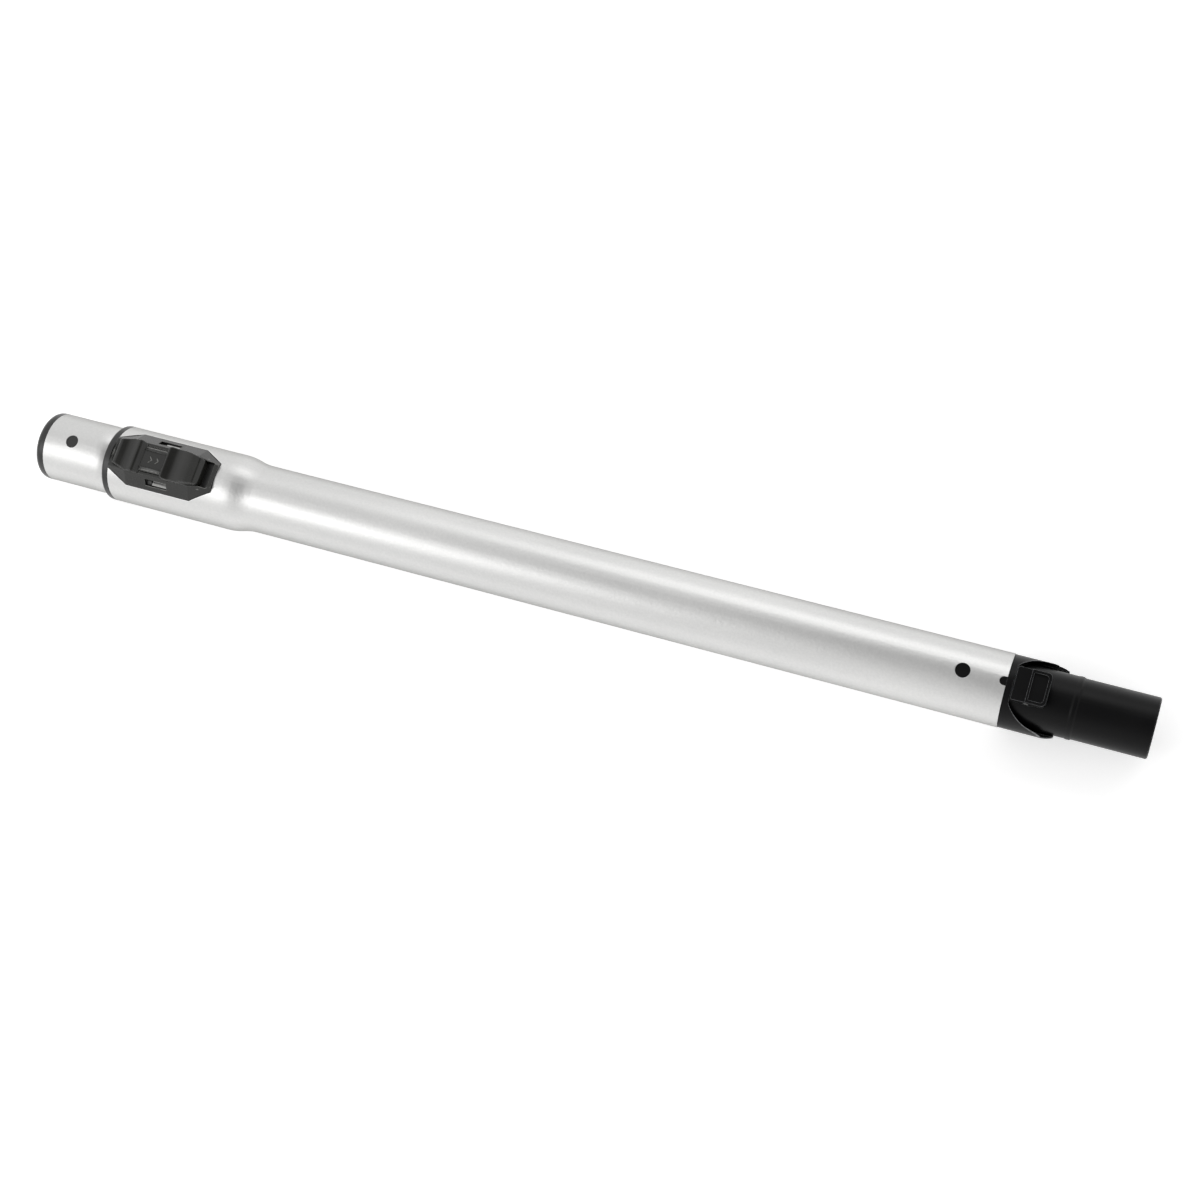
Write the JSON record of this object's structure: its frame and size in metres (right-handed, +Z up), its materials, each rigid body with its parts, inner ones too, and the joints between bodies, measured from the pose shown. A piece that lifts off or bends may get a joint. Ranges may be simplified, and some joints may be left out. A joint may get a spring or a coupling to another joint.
{
  "type": "telescopic vacuum wand",
  "caption": "Telescopic aluminium suction tube with a thumb slider lock, a round handle socket and a latched nozzle spigot.",
  "frame": {"origin": "on the floor, under the middle of the collapsed wand", "axes": "+X along the tube towards the nozzle spigot, +Z up through the thumb slider"},
  "size_m": [0.647, 0.0442, 0.0502],
  "materials": {
    "satin_aluminium": "satin anodised",
    "black_plastic": "satin moulded",
    "charcoal_plastic": "satin moulded",
    "connector_plastic": "satin moulded",
    "bright_steel": "zinc plated",
    "spring_steel": "rolled strip"
  },
  "bodies": {
    "wand_body": {"outer_tube": "satin_aluminium", "guide_sleeve": "black_plastic", "slider_bezel": "charcoal_plastic", "slider_spring": "spring_steel", "nozzle_connector": "connector_plastic", "latch_pin": "bright_steel", "latch_spring": "spring_steel"},
    "extension": {"inner_tube": "satin_aluminium", "socket_liner": "black_plastic", "tail_bush": "black_plastic"},
    "slider": {"slider_button": "charcoal_plastic"},
    "lock": {"lock_plate": "bright_steel"},
    "latch": {"latch_rocker": "connector_plastic"}
  },
  "joints": [
    {"name": "telescope", "type": "slide", "parent": "wand_body", "child": "extension", "axis": [-1, 0, 0], "range_m": [0, 0.36]},
    {"name": "slider_push", "type": "slide", "parent": "wand_body", "child": "slider", "axis": [1, 0, 0], "range_m": [0, 0.005], "stiffness_N_per_m": 600, "springref_m": -0.004, "deforming": ["slider_spring"]},
    {"name": "lock_lift", "type": "slide", "parent": "wand_body", "child": "lock", "axis": [0, 0, 1], "range_m": [0, 0.0016]},
    {"name": "latch_rock", "type": "hinge", "parent": "wand_body", "child": "latch", "pos_m": [0.2604, 0, 0.04075], "axis": [0, -1, 0], "range_deg": [0, 10], "stiffness_Nm_per_rad": 0.1, "springref_deg": -5.73, "deforming": ["latch_spring"]}
  ],
  "couplings": [
    {"joint": "lock_lift", "follows": "slider_push", "ratio": 0.32}
  ]
}
